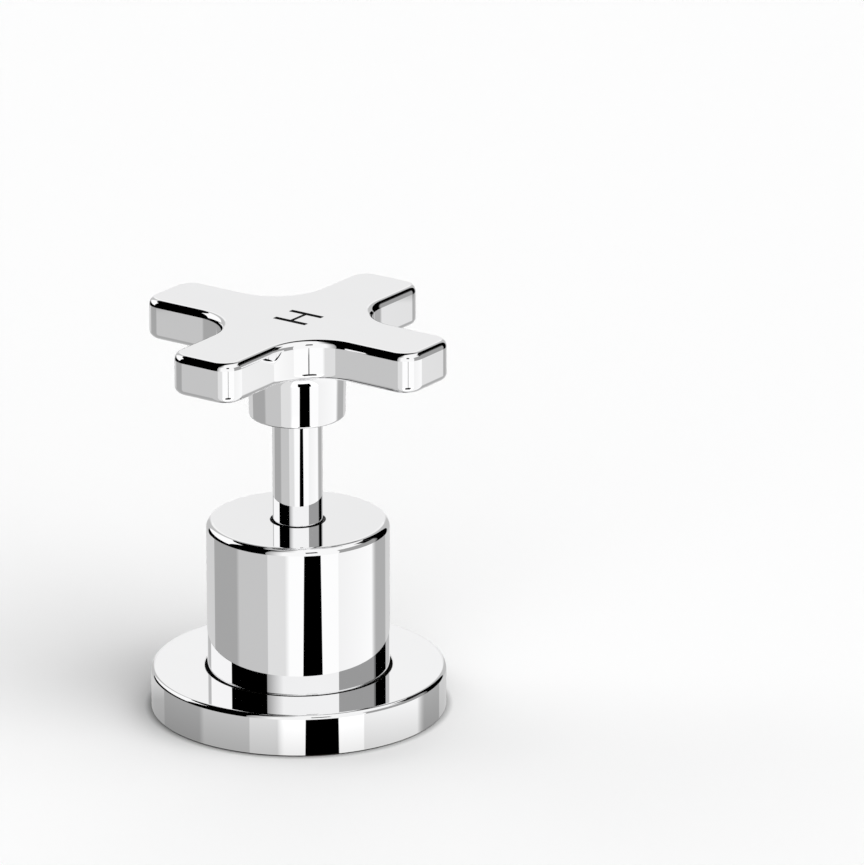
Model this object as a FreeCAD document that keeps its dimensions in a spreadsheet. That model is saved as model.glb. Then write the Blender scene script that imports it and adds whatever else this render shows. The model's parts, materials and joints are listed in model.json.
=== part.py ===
import FreeCAD, Part
import os
import re
import Sketcher
from FreeCAD import Placement, Rotation, Vector

# Deck-mounted quarter-turn tap with a cross handle.  Millimetres, Z up.  The origin is on the
# handle's axis in the top face of the hob; the outlet points along +X and the user stands at -Y.

# Driving dimensions: cell name, size, what it sets.
DIMENSIONS = [
    ("flange_dia", 55.0, "flange on the hob"),
    ("flange_thick", 8.0, "flange height"),
    ("flange_edge", 0.8, "round on the flange's top edge"),
    ("foot_bevel", 0.3, "bevel on the flange's bottom edge"),
    ("cover_dia", 34.0, "body cover"),
    ("cover_top", 36.5, "cover's top above the hob"),
    ("cover_edge", 1.3, "round on the cover's top edge"),
    ("cover_gap", 0.45, "gap round the cover in the flange"),
    ("cover_sink", 4.5, "how far the cover sinks into the flange"),
    ("stem_dia", 9.3, "stem between cover and hub"),
    ("stem_gap", 0.5, "gap round the stem in the cover's roof"),
    ("hub_dia", 18.0, "hub under the handle"),
    ("hub_low", 57.0, "hub's underside above the hob"),
    ("hub_edge", 1.0, "round on the hub's lower edge"),
    ("hub_cove", 2.8, "hollow round where the hub flares out under the handle"),
    ("hub_lip", 0.1, "edge of that flare"),
    ("handle_top", 75.7, "handle's top above the hob"),
    ("handle_thick", 7.6, "handle's thickness"),
    ("handle_span", 60.9, "handle from tip to tip"),
    ("arm_width", 14.3, "width of an arm"),
    ("tip_round", 3.85, "corners of an arm's tip"),
    ("web_round", 9.75, "hollow corner between two arms"),
    ("handle_edge", 1.3, "round on the handle's edges"),
    ("thread_play", 0.05, "gap between plain cylinders that stand for a thread"),
    ("press_play", 0.02, "gap of pressed pieces"),
    ("loose_gap", 0.2, "gap round inner pieces that bear on nothing"),
    ("edge_break", 0.4, "small bevels"),
    ("running_play", 0.05, "radial gap of turning pieces"),
    ("shank_dia", 30.0, "M30 x 1.5 shank through the hob"),
    ("shank_bore", 24.0, "shank's bore"),
    ("shank_top", 15.0, "shank's end inside the cover"),
    ("shank_clear", 0.3, "gap round the shank in flange and washers"),
    ("shank_depth", 34.0, "shank's length under the hob"),
    ("lead_bevel", 0.8, "lead-in bevel of a thread"),
    ("roof_thick", 4.0, "cover's roof"),
    ("core_dia", 28.5, "cover's bore above its thread"),
    ("cover_thread_top", 17.0, "end of the cover's thread"),
    ("bush_dia", 13.0, "stem bush"),
    ("bush_collar_dia", 16.0, "collar of the stem bush"),
    ("bush_collar", 1.2, "collar's thickness"),
    ("bush_sink", 1.2, "bush top below the cover's top"),
    ("seal_inner_dia", 41.0, "deck seal's inside"),
    ("seal_outer_dia", 49.0, "deck seal's outside"),
    ("seal_depth", 2.0, "deck seal's thickness"),
    ("ring_section", 1.8, "section of the ring between flange and cover"),
    ("ring_height", 5.8, "that ring's height"),
    ("hob_thick", 20.0, "hob that the tap is drawn clamped to"),
    ("washer_dia", 44.0, "washers under the hob"),
    ("washer_thick", 2.0, "each of these washers"),
    ("nut_flats", 38.0, "backnut across flats"),
    ("nut_thick", 7.0, "backnut's height"),
    ("nut_bevel", 1.6, "bevel of the backnut's corners"),
    ("barrel_dia", 35.0, "barrel of the valve body"),
    ("barrel_flats", 31.0, "barrel across its spanner flats"),
    ("barrel_depth", 60.0, "barrel's lower edge under the hob"),
    ("land_top_depth", 31.0, "top of the land that holds the cartridge"),
    ("land_low_depth", 42.0, "underside of that land"),
    ("land_bore", 21.0, "G1/2 bore of that land"),
    ("chamber_dia", 23.0, "chamber round the cartridge"),
    ("seat_depth", 58.0, "seat of the cartridge's seal"),
    ("pipe_dia", 20.955, "G1/2 outside thread"),
    ("water_dia", 12.0, "waterway"),
    ("inlet_neck_dia", 25.0, "neck above the inlet thread"),
    ("inlet_neck_depth", 64.0, "neck's end under the hob"),
    ("inlet_depth", 78.0, "end of the inlet under the hob"),
    ("outlet_depth", 50.0, "outlet's axis under the hob"),
    ("outlet_boss_reach", 22.5, "end of the outlet's boss"),
    ("outlet_reach", 37.0, "end of the outlet"),
    ("collar_dia", 23.2, "cartridge collar"),
    ("collar_low_depth", 30.0, "collar's underside"),
    ("collar_thick", 2.0, "collar's height"),
    ("hex_flats", 17.0, "cartridge hexagon"),
    ("hex_tall", 8.0, "hexagon's height"),
    ("neck_dia", 14.0, "cartridge neck"),
    ("neck_top_depth", 14.0, "top of the cartridge neck"),
    ("stop_tall", 2.4, "height of the quarter-turn stop"),
    ("lug_sweep", 88.0, "angle of the spindle's stop lug"),
    ("wall_sweep", 180.0, "angle of the wall that stops it"),
    ("stop_slack", 1.0, "angle left at each stop"),
    ("nose_dia", 17.5, "cartridge nose"),
    ("nose_low_depth", 56.0, "end of the nose"),
    ("nose_bore", 15.0, "nose's bore"),
    ("nose_roof_depth", 40.0, "end of that bore"),
    ("window_width", 9.0, "side windows of the nose"),
    ("window_top_depth", 43.0, "top of the windows"),
    ("window_low_depth", 48.0, "bottom of the windows"),
    ("tab_width", 4.0, "tabs of the fixed disc"),
    ("spindle_dia", 8.9, "cartridge spindle"),
    ("spline_dia", 7.9, "spline over its teeth"),
    ("spline_root", 7.0, "spline between its teeth"),
    ("spline_low_depth", 9.5, "lower end of the spline"),
    ("clip_low_depth", 11.4, "underside of the circlip"),
    ("clip_thick", 0.8, "circlip's thickness"),
    ("clip_bore", 7.0, "circlip's inside"),
    ("clip_dia", 12.8, "circlip's outside"),
    ("clip_sweep", 290.0, "angle of the open circlip"),
    ("oring_section", 1.4, "section of the spindle's rings"),
    ("oring_high_depth", 24.0, "upper ring"),
    ("oring_low_depth", 34.0, "lower ring"),
    ("thrust_thick", 1.0, "thrust washer, and the spindle's flange"),
    ("tang_width", 4.0, "spindle's drive tang"),
    ("tang_long", 13.2, "tang from end to end"),
    ("tang_depth", 49.4, "tang's lower end"),
    ("drive_top_depth", 48.2, "top of the turning disc"),
    ("disc_joint_depth", 51.0, "face where the two discs meet"),
    ("fixed_low_depth", 54.0, "underside of the fixed disc"),
    ("disc_dia", 14.6, "both discs"),
    ("port_inner_dia", 5.8, "inside of the disc ports"),
    ("port_outer_dia", 11.6, "outside of the disc ports"),
    ("port_sweep", 80.0, "angle of one disc port"),
    ("socket_dia", 13.5, "stem's socket over the spline"),
    ("socket_top", 8.0, "end of the wide part of that socket"),
    ("web_low", 0.5, "underside of the web inside the stem"),
    ("web_top", 10.0, "web's top, where the screw head rests"),
    ("stem_bore", 5.8, "stem's bore above the web"),
    ("stem_top", 68.5, "stem's end inside the hub"),
    ("hub_bore_top", 69.0, "end of the hub's bore"),
    ("spigot_dia", 12.0, "hub's spigot in the handle"),
    ("spigot_tall", 4.0, "spigot's height"),
    ("grub_dia", 5.0, "M5 grub screw"),
    ("grub_height", 62.6, "grub screw's axis"),
    ("grub_sink", 0.4, "grub screw below the hub's face"),
    ("grub_flat", 0.5, "depth of the flat it bears on"),
    ("key_flats", 2.5, "hexagon sockets of both screws"),
    ("screw_dia", 3.0, "M3 screw that holds the stem"),
    ("screw_head_dia", 5.5, "its head"),
    ("screw_head", 3.0, "its head's height"),
    ("screw_long", 20.0, "its length under the head"),
]
NAMES = {name for name, _, _ in DIMENSIONS}

# Levels and radii that several sub-parts share.
COVER_LOW = "(flange_thick - cover_sink)"
COVER_BORE = "(cover_dia / 2 + cover_gap)"
ROOF_LOW = "(cover_top - roof_thick)"
BUSH_TOP = "(cover_top - bush_sink)"
HANDLE_LOW = "(handle_top - handle_thick)"
SHANK_HOLE = "(shank_dia / 2 + shank_clear)"
SHANK_THREAD = "(shank_dia / 2 + thread_play)"
CLAMP_TOP = "(-hob_thick - washer_thick)"
NUT_TOP = "(-hob_thick - 2 * washer_thick)"
HEX_LOW = "(-collar_low_depth + collar_thick)"
THRUST_LOW = "(-nose_roof_depth - thrust_thick)"
FLANGE_LOW = "(-nose_roof_depth - 2 * thrust_thick)"
THRUST = "(nose_bore / 2 - loose_gap)"
STEM = "(stem_dia / 2)"
SPINDLE = "(spindle_dia / 2)"

SPLINE_TEETH = 20
SPLINE_TURN = 90.0 / SPLINE_TEETH

doc = FreeCAD.newDocument("hob_tap")
sheet = doc.addObject("Spreadsheet::Sheet", "dims")


def fill_sheet():
    """Write the driving dimensions into the spreadsheet, one named cell each."""
    for row, (name, value, note) in enumerate(DIMENSIONS, 1):
        sheet.set(f"A{row}", name)
        sheet.set(f"B{row}", str(value))
        sheet.set(f"C{row}", note)
        sheet.setAlias(f"B{row}", name)
    doc.recompute()


def cell(expression):
    """Point every dimension named in an expression at its spreadsheet cell."""
    return re.sub(r"[a-z_]+", lambda word: f"dims.{word[0]}" if word[0] in NAMES else word[0], expression)


def bind(item, **sizes):
    """Bind properties of a document object to expressions of the named dimensions."""
    for prop, expression in sizes.items():
        item.setExpression(prop, cell(expression))


def new_sketch(body, role, name, lift="0"):
    """Sketch on an origin plane of the body, moved along that plane's normal."""
    sketch = body.newObject("Sketcher::SketchObject", name)
    plane = next(item for item in body.Origin.OriginFeatures if item.Role == role)
    sketch.AttachmentSupport = [(plane, "")]
    sketch.MapMode = "FlatFace"
    sketch.setExpression("AttachmentOffset.Base.z", cell(lift))
    return sketch


def pin_point(sketch, line, corner):
    """Bind the start of a line to a corner given as two dimension expressions."""
    for kind, axis, expression in (("DistanceX", -2, corner[0]), ("DistanceY", -1, corner[1])):
        if expression == "0":
            sketch.addConstraint(Sketcher.Constraint("PointOnObject", line, 1, axis))
            continue
        value = float(sketch.evalExpression(cell(expression)))
        index = sketch.addConstraint(Sketcher.Constraint(kind, -1, 1, line, 1, value))
        sketch.setExpression(f"Constraints[{index}]", cell(expression))


def draw(sketch, corners):
    """Closed straight-sided outline through corners given as dimension expressions."""
    spots = [Vector(*(float(sketch.evalExpression(cell(part))) for part in corner), 0) for corner in corners]
    first = sketch.GeometryCount
    count = len(spots)
    for index in range(count):
        sketch.addGeometry(Part.LineSegment(spots[index], spots[(index + 1) % count]), False)
    for index in range(count):
        following = first + (index + 1) % count
        sketch.addConstraint(Sketcher.Constraint("Coincident", first + index, 2, following, 1))
    for index, corner in enumerate(corners):
        pin_point(sketch, first + index, corner)


def draw_circle(sketch, radius, height="0"):
    """Circle on the sketch's vertical axis, at a height along it."""
    middle = Vector(0, float(sketch.evalExpression(cell(height))), 0)
    size = float(sketch.evalExpression(cell(radius)))
    index = sketch.addGeometry(Part.Circle(middle, Vector(0, 0, 1), size), False)
    sketch.addConstraint(Sketcher.Constraint("PointOnObject", index, 3, -2))
    if height == "0":
        sketch.addConstraint(Sketcher.Constraint("PointOnObject", index, 3, -1))
    else:
        place = sketch.addConstraint(Sketcher.Constraint("DistanceY", -1, 1, index, 3, middle.y))
        sketch.setExpression(f"Constraints[{place}]", cell(height))
    wide = sketch.addConstraint(Sketcher.Constraint("Radius", index, size))
    sketch.setExpression(f"Constraints[{wide}]", cell(radius))


def turned(name, corners):
    """Body turned about Z from an outline of (radius, height) corners."""
    body = doc.addObject("PartDesign::Body", name)
    sketch = new_sketch(body, "XZ_Plane", f"{name}_outline")
    draw(sketch, corners)
    feature = body.newObject("PartDesign::Revolution", f"{name}_turned")
    feature.Profile = sketch
    feature.ReferenceAxis = (sketch, ["V_Axis"])
    feature.Angle = 360
    doc.recompute()
    return body


def ring(name, inner, outer, low, high):
    """Flat ring turned about Z."""
    return turned(name, [(inner, low), (outer, low), (outer, high), (inner, high)])


def grooved(body, name, corners):
    """Turn a groove into the body about Z from an outline of (radius, height) corners."""
    before = body.Shape.Volume
    sketch = new_sketch(body, "XZ_Plane", f"{name}_outline")
    draw(sketch, corners)
    feature = body.newObject("PartDesign::Groove", name)
    feature.Profile = sketch
    feature.ReferenceAxis = (sketch, ["V_Axis"])
    feature.Angle = 360
    doc.recompute()
    assert body.Shape.Volume < before, name


def padded(body, name, outlines, low, high):
    """Pad outlines (corner lists, or a radius for a circle) upward between two heights."""
    sketch = new_sketch(body, "XY_Plane", f"{name}_outline", low)
    for outline in outlines:
        if isinstance(outline, str):
            draw_circle(sketch, outline)
        else:
            draw(sketch, outline)
    feature = body.newObject("PartDesign::Pad", name)
    feature.Profile = sketch
    bind(feature, Length=f"{high} - ({low})")
    doc.recompute()


def pocketed(body, name, outlines, low, high):
    """Cut outlines (corner lists, or a radius for a circle) downward between two heights."""
    before = body.Shape.Volume
    sketch = new_sketch(body, "XY_Plane", f"{name}_outline", high)
    for outline in outlines:
        if isinstance(outline, str):
            draw_circle(sketch, outline)
        else:
            draw(sketch, outline)
    feature = body.newObject("PartDesign::Pocket", name)
    feature.Profile = sketch
    bind(feature, Length=f"{high} - ({low})")
    doc.recompute()
    assert body.Shape.Volume < before, name


def crosscut(body, name, role, corners):
    """Cut an outline on an upright origin plane right through the body, both ways."""
    before = body.Shape.Volume
    sketch = new_sketch(body, role, f"{name}_outline")
    draw(sketch, corners)
    feature = body.newObject("PartDesign::Pocket", name)
    feature.Profile = sketch
    feature.Type = "ThroughAll"
    feature.Midplane = True
    doc.recompute()
    assert body.Shape.Volume < before, name


def rounded(body, name, radius, wanted):
    """Round the edges of the body that pass a test."""
    base = body.Tip
    names = [f"Edge{number}" for number, edge in enumerate(base.Shape.Edges, 1) if wanted(edge)]
    feature = body.newObject("PartDesign::Fillet", name)
    feature.Base = (base, names)
    bind(feature, Radius=radius)
    doc.recompute()


def circle_at(radius, height):
    """Test for a circular edge of a radius at a height."""
    size = float(sheet.evalExpression(cell(radius)))
    level = float(sheet.evalExpression(cell(height)))

    def test(edge):
        curve = edge.Curve
        if curve.TypeId != "Part::GeomCircle":
            return False
        return abs(curve.Radius - size) < 1e-4 and abs(curve.Center.z - level) < 1e-4

    return test


def polygon(count, radii, turn=0.0):
    """Corners on circles of the given radii, used in turn; the first one stands at an angle."""
    corners = []
    for index in range(count):
        radius = radii[index % len(radii)]
        angle = turn + 360.0 * index / count
        across = "0" if angle % 180 == 90 else f"({radius}) * cos({angle} deg)"
        along = "0" if angle % 180 == 0 else f"({radius}) * sin({angle} deg)"
        corners.append((across, along))
    return corners


def hexagon(flats):
    """Hexagon of a width across flats."""
    return polygon(6, [f"{flats} / 2 / cos(30 deg)"])


def rectangle(half_x, half_y):
    """Rectangle about the axis."""
    left, near = f"-({half_x})", f"-({half_y})"
    return [(left, near), (half_x, near), (half_x, half_y), (left, half_y)]


def sector(name, radius, low, high, sweep, start):
    """Part of a cylinder about Z that sweeps an angle from a start angle."""
    item = doc.addObject("Part::Cylinder", name)
    item.Placement = Placement(Vector(0, 0, 0), Rotation(Vector(0, 0, 1), 1))
    bind(item, Radius=radius, Height=f"{high} - ({low})", Angle=sweep)
    item.setExpression("Placement.Base.z", cell(low))
    item.setExpression("Placement.Rotation.Angle", cell(start))
    return item


def cylinder(name, radius, low, high):
    """Upright cylinder on the axis."""
    item = doc.addObject("Part::Cylinder", name)
    bind(item, Radius=radius, Height=f"{high} - ({low})")
    item.setExpression("Placement.Base.z", cell(low))
    return item


def torus(name, ring_radius, section_radius, height):
    """Ring of round section about Z."""
    item = doc.addObject("Part::Torus", name)
    bind(item, Radius1=ring_radius, Radius2=section_radius)
    item.setExpression("Placement.Base.z", cell(height))
    return item


def joined(name, *items):
    """Union of document objects."""
    result = doc.addObject("Part::MultiFuse", name)
    result.Shapes = list(items)
    return result


def less(name, base, tool):
    """One document object cut from another."""
    result = doc.addObject("Part::Cut", name)
    result.Base = base
    result.Tool = tool
    return result


def cross_handle():
    """Cross of two equal bars, hollow corners between the arms, every edge rounded."""
    body = doc.addObject("PartDesign::Body", "cross_handle")
    reach, half = "handle_span / 2", "arm_width / 2"
    quarter = [(reach, half), (half, half), (half, reach)]
    corners = []
    for turn in range(4):
        corners += quarter
        quarter = [(f"-({along})", across) for across, along in quarter]
    padded(body, "handle_cross", [corners], HANDLE_LOW, "handle_top")
    inner = float(sheet.evalExpression(cell("arm_width / sqrt(2)")))

    def upright(edge):
        return edge.Vertexes[0].Point.distanceToPoint(edge.Vertexes[-1].Point) > 1e-6 and abs(
            edge.tangentAt(edge.FirstParameter).z) > 0.999

    def from_axis(edge):
        return Vector(edge.CenterOfMass.x, edge.CenterOfMass.y, 0).Length

    rounded(body, "handle_webs", "web_round",
            lambda edge: upright(edge) and abs(from_axis(edge) - inner) < 1e-3)
    rim = float(sheet.evalExpression(cell("handle_span / 2")))
    rounded(body, "handle_tips", "tip_round", lambda edge: upright(edge) and from_axis(edge) > rim)
    rounded(body, "handle_edges", "handle_edge", lambda edge: edge.BoundBox.ZLength < 1e-6)
    pocketed(body, "handle_socket", ["spigot_dia / 2 + press_play"], HANDLE_LOW,
             f"{HANDLE_LOW} + spigot_tall + press_play")
    return body


def handle_hub():
    """Round hub with a spigot for the handle, a bore for the stem and a tapped hole at the back."""
    outer, bore, spigot = "hub_dia / 2", f"{STEM} + press_play", "spigot_dia / 2"
    flare, flare_low = "hub_dia / 2 + hub_cove + hub_lip", f"{HANDLE_LOW} - hub_lip"
    spigot_top = f"{HANDLE_LOW} + spigot_tall"
    body = turned("handle_hub", [
        (bore, "hub_low"), (outer, "hub_low"), (outer, flare_low), (flare, flare_low), (flare, HANDLE_LOW),
        (spigot, HANDLE_LOW), (spigot, spigot_top), ("0", spigot_top), ("0", "hub_bore_top"),
        (bore, "hub_bore_top")])
    rounded(body, "hub_low_round", "hub_edge", circle_at(outer, "hub_low"))
    rounded(body, "hub_top_cove", "hub_cove", circle_at(outer, flare_low))
    before = body.Shape.Volume
    sketch = new_sketch(body, "XZ_Plane", "hub_tapping_outline")
    draw_circle(sketch, "grub_dia / 2 + thread_play", "grub_height")
    feature = body.newObject("PartDesign::Pocket", "hub_tapping")
    feature.Profile = sketch
    bind(feature, Length=outer)
    doc.recompute()
    assert body.Shape.Volume < before and body.Shape.CenterOfGravity.y < 0
    return body


def hub_grub_screw():
    """Grub screw through the back of the hub, drawn upright and laid along Y."""
    length = f"hub_dia / 2 - grub_sink - {STEM} + grub_flat"
    body = turned("hub_grub_screw", [
        ("0", "0"), ("grub_dia / 2 - edge_break", "0"), ("grub_dia / 2", "edge_break"),
        ("grub_dia / 2", length), ("0", length)])
    pocketed(body, "grub_key", [hexagon("key_flats")], f"({length}) / 2", length)
    body.Placement = Placement(Vector(0, 0, 0), Rotation(Vector(1, 0, 0), -90))
    body.setExpression("Placement.Base.y", cell(f"{STEM} - grub_flat"))
    body.setExpression("Placement.Base.z", cell("grub_height"))
    return body


def spindle_extension():
    """Visible stem: a tube with a splined socket at its foot and a flat for the grub screw."""
    low, bore, bevel = "-spline_low_depth", "stem_bore / 2", "edge_break"
    body = turned("spindle_extension", [
        ("screw_dia / 2 + thread_play", low), ("socket_dia / 2", low), ("socket_dia / 2", "socket_top"),
        (STEM, f"socket_top + socket_dia / 2 - {STEM}"), (STEM, f"stem_top - {bevel}"),
        (f"{STEM} - {bevel}", "stem_top"), (bore, "stem_top"), (bore, "web_top"),
        ("screw_dia / 2 + thread_play", "web_top")])
    star = polygon(2 * SPLINE_TEETH, ["spline_dia / 2 + running_play", "spline_root / 2 + running_play"],
                   SPLINE_TURN)
    pocketed(body, "stem_spline", [star], low, "web_low")
    half_flat = "(grub_dia / 2 + edge_break)"
    flat_near, flat_far = f"{STEM} - grub_flat", "stem_dia"
    pocketed(body, "stem_flat", [[("-stem_dia", flat_near), ("stem_dia", flat_near), ("stem_dia", flat_far),
                                  ("-stem_dia", flat_far)]],
             f"grub_height - {half_flat}", f"grub_height + {half_flat}")
    return body


def extension_screw():
    """Cap screw that holds the stem down on the spindle."""
    low, high = "web_top - screw_long", "web_top + screw_head"
    body = turned("extension_screw", [
        ("0", low), ("screw_dia / 2", low), ("screw_dia / 2", "web_top"), ("screw_head_dia / 2", "web_top"),
        ("screw_head_dia / 2", high), ("0", high)])
    pocketed(body, "screw_key", [hexagon("key_flats")], "web_top + screw_head / 2", high)
    return body


def spindle_grooves(depth):
    """Corners of a ring groove in the spindle, from its upper edge down."""
    root, half = f"{SPINDLE} - oring_section - press_play", "(oring_section / 2 + running_play)"
    return [(SPINDLE, f"-{depth} + {half}"), (root, f"-{depth} + {half}"),
            (root, f"-{depth} - {half}"), (SPINDLE, f"-{depth} - {half}")]


def cartridge_spindle():
    """Spindle: spline, clip groove, stop lug, two ring grooves, flange and drive tang."""
    clip_low, clip_high = "-clip_low_depth - press_play", "-clip_low_depth + clip_thick + press_play"
    tapping, tapped = "screw_dia / 2 + thread_play", "web_top - screw_long - screw_dia / 2"
    body = turned("cartridge_spindle_turned", [
        ("0", FLANGE_LOW), (THRUST, FLANGE_LOW), (THRUST, THRUST_LOW), (SPINDLE, THRUST_LOW),
        *reversed(spindle_grooves("oring_low_depth")), *reversed(spindle_grooves("oring_high_depth")),
        (SPINDLE, clip_low), ("clip_bore / 2", clip_low), ("clip_bore / 2", clip_high), (SPINDLE, clip_high),
        (SPINDLE, "-spline_low_depth"), (tapping, "-spline_low_depth"), (tapping, tapped), ("0", tapped)])
    star = polygon(2 * SPLINE_TEETH, ["spline_dia / 2", "spline_root / 2"], SPLINE_TURN)
    padded(body, "spindle_spline", [star, tapping], "-spline_low_depth", "0")
    tang = rectangle("tang_long / 2", "tang_width / 2")
    padded(body, "spindle_tang", [tang], "-tang_depth", FLANGE_LOW)
    lug_low = "-neck_top_depth + running_play"
    lug_high = "-clip_low_depth - loose_gap"
    lug = sector("spindle_lug", "neck_dia / 2 - loose_gap", lug_low, lug_high, "lug_sweep", "stop_slack")
    core = cylinder("spindle_lug_core", "clip_bore / 2", lug_low, lug_high)
    return joined("cartridge_spindle", body, less("spindle_lug_ring", lug, core))


def spindle_o_rings():
    """The two sealing rings on the spindle."""
    middle = f"{SPINDLE} - oring_section / 2"
    rings = [torus(f"o_ring_{depth}", middle, "oring_section / 2", f"-{depth}")
             for depth in ("oring_high_depth", "oring_low_depth")]
    group = doc.addObject("Part::Compound", "spindle_o_rings")
    group.Links = rings
    return group


def spindle_circlip():
    """Open clip in the spindle's groove, above the quarter-turn stop."""
    low, high = "-clip_low_depth", "-clip_low_depth + clip_thick"
    blank = sector("clip_blank", "clip_dia / 2", low, high, "clip_sweep", "180 - clip_sweep / 2")
    bore = cylinder("clip_hole", "clip_bore / 2", low, high)
    return less("spindle_circlip", blank, bore)


def port(name, low, high, start):
    """Sector-shaped waterway through a disc, on both sides of the axis."""
    pair = [sector(f"{name}_{side}", "port_outer_dia / 2", low, high, "port_sweep",
                   f"{start} + {side} - port_sweep / 2") for side in (0, 180)]
    core = cylinder(f"{name}_core", "port_inner_dia / 2", low, high)
    return less(f"{name}_ports", joined(f"{name}_pair", *pair), core)


def drive_disc():
    """Upper ceramic disc: two ports across the tang, which sits in a slot in its top."""
    low, high = "-disc_joint_depth", "-drive_top_depth"
    body = ring("drive_disc_blank", "0", "disc_dia / 2", low, high)
    slot = rectangle("disc_dia", "tang_width / 2 + running_play")
    pocketed(body, "drive_slot", [slot], "-tang_depth", high)
    return less("drive_disc", body, port("drive", low, high, "90"))


def fixed_disc():
    """Lower ceramic disc: two ports a quarter turn from the upper ones, and two locking tabs."""
    low, high = "-fixed_low_depth", "-disc_joint_depth"
    body = ring("fixed_disc_blank", "0", "disc_dia / 2", low, high)
    tabs = rectangle("tab_width / 2 - press_play", "nose_dia / 2")
    padded(body, "fixed_tabs", [tabs], low, high)
    return less("fixed_disc", body, port("fixed", low, high, "0"))


def cartridge_body():
    """Headwork: nose with windows and tab slots, thread, collar, hexagon, neck and stop wall."""
    bore, thread = f"{SPINDLE} + running_play", "land_bore / 2 - thread_play"
    neck, low, roof = "neck_dia / 2", "-nose_low_depth", "-nose_roof_depth"
    collar_low, neck_top = "-collar_low_depth", "-neck_top_depth"
    body = turned("cartridge_turned", [
        ("nose_bore / 2", low), ("nose_dia / 2", low), ("nose_dia / 2", "-land_low_depth"),
        (thread, "-land_low_depth"), (thread, collar_low), ("collar_dia / 2", collar_low),
        ("collar_dia / 2", HEX_LOW), (neck, HEX_LOW), (neck, neck_top), (bore, neck_top), (bore, roof),
        ("nose_bore / 2", roof)])
    padded(body, "cartridge_hexagon", [hexagon("hex_flats"), f"{neck} - edge_break"], HEX_LOW,
           f"{HEX_LOW} + hex_tall")
    window = "window_width / 2"
    crosscut(body, "cartridge_windows", "XZ_Plane", [
        (f"-{window}", "-window_low_depth"), (window, "-window_low_depth"),
        (window, "-window_top_depth"), (f"-{window}", "-window_top_depth")])
    slot = "tab_width / 2"
    crosscut(body, "cartridge_slots", "XZ_Plane", [
        (f"-{slot}", low), (slot, low), (slot, "-disc_joint_depth"),
        (f"-{slot}", "-disc_joint_depth")])
    wall = sector("stop_wall", neck, neck_top, f"{neck_top} + stop_tall", "wall_sweep", "180")
    core = cylinder("stop_wall_core", f"{bore} + loose_gap", neck_top, f"{neck_top} + stop_tall")
    return joined("cartridge_body", body, less("stop_wall_ring", wall, core))


def valve_body():
    """Brass body: threaded shank, barrel with spanner flats, inlet below and outlet at the side."""
    shank, barrel, pipe, water = "shank_dia / 2", "barrel_dia / 2", "pipe_dia / 2", "water_dia / 2"
    foot = "-shank_depth"
    body = turned("valve_body", [
        ("shank_bore / 2", "shank_top"), (f"{shank} - lead_bevel", "shank_top"),
        (shank, "shank_top - lead_bevel"), (shank, foot), (f"{barrel} - lead_bevel", foot),
        (barrel, f"{foot} - lead_bevel"), (barrel, "-barrel_depth"),
        ("inlet_neck_dia / 2", "-inlet_neck_depth"), (pipe, "-inlet_neck_depth"),
        (pipe, "-inlet_depth + lead_bevel"), (f"{pipe} - lead_bevel", "-inlet_depth"),
        (water, "-inlet_depth"), (water, "-seat_depth"), ("chamber_dia / 2", "-seat_depth"),
        ("chamber_dia / 2", "-land_low_depth"), ("land_bore / 2", "-land_low_depth"),
        ("land_bore / 2", "-land_top_depth"), ("shank_bore / 2", "-land_top_depth")])
    for name, side in (("barrel_front_flat", "-"), ("barrel_back_flat", "")):
        near, far = f"{side}barrel_flats / 2", f"{side}barrel_dia"
        flat = [("-barrel_dia", near), ("barrel_dia", near), ("barrel_dia", far), ("-barrel_dia", far)]
        pocketed(body, name, [flat], "-inlet_neck_depth", foot)
    return body


def add_outlet(body):
    """Outlet boss, thread and waterway along +X."""
    for name, radius, start, end in (
            ("outlet_boss", "inlet_neck_dia / 2", "(chamber_dia + barrel_dia) / 4", "outlet_boss_reach"),
            ("outlet_spigot", "pipe_dia / 2", "outlet_boss_reach", "outlet_reach")):
        sketch = new_sketch(body, "YZ_Plane", f"{name}_outline", start)
        draw_circle(sketch, radius, "-outlet_depth")
        feature = body.newObject("PartDesign::Pad", name)
        feature.Profile = sketch
        bind(feature, Length=f"{end} - ({start})")
        doc.recompute()
    before = body.Shape.Volume
    sketch = new_sketch(body, "YZ_Plane", "outlet_waterway_outline", "outlet_reach")
    draw_circle(sketch, "water_dia / 2", "-outlet_depth")
    feature = body.newObject("PartDesign::Pocket", "outlet_waterway")
    feature.Profile = sketch
    bind(feature, Length="outlet_reach - chamber_dia / 4")
    doc.recompute()
    assert body.Shape.Volume < before
    end = float(sheet.evalExpression(cell("outlet_reach")))
    size = float(sheet.evalExpression(cell("pipe_dia / 2")))
    names = [f"Edge{number}" for number, edge in enumerate(feature.Shape.Edges, 1)
             if edge.Curve.TypeId == "Part::GeomCircle" and abs(edge.Curve.Radius - size) < 1e-4
             and abs(edge.Curve.Center.x - end) < 1e-4]
    bevel = body.newObject("PartDesign::Chamfer", "outlet_bevel")
    bevel.Base = (feature, names)
    bind(bevel, Size="lead_bevel")
    doc.recompute()
    return body


def body_cover():
    """Cover that screws down on the shank and clamps the flange; the stem leaves through its roof."""
    outer, core, hole = "cover_dia / 2", "core_dia / 2", f"{STEM} + stem_gap"
    body = turned("body_cover", [
        (f"{SHANK_THREAD} + edge_break", COVER_LOW), (outer, COVER_LOW), (outer, "cover_top"),
        (hole, "cover_top"), (hole, BUSH_TOP), ("bush_dia / 2", BUSH_TOP), ("bush_dia / 2", ROOF_LOW),
        (core, ROOF_LOW), (core, "cover_thread_top"), (SHANK_THREAD, "cover_thread_top"),
        (SHANK_THREAD, f"{COVER_LOW} + edge_break")])
    rounded(body, "cover_round", "cover_edge", circle_at(outer, "cover_top"))
    return body


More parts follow.
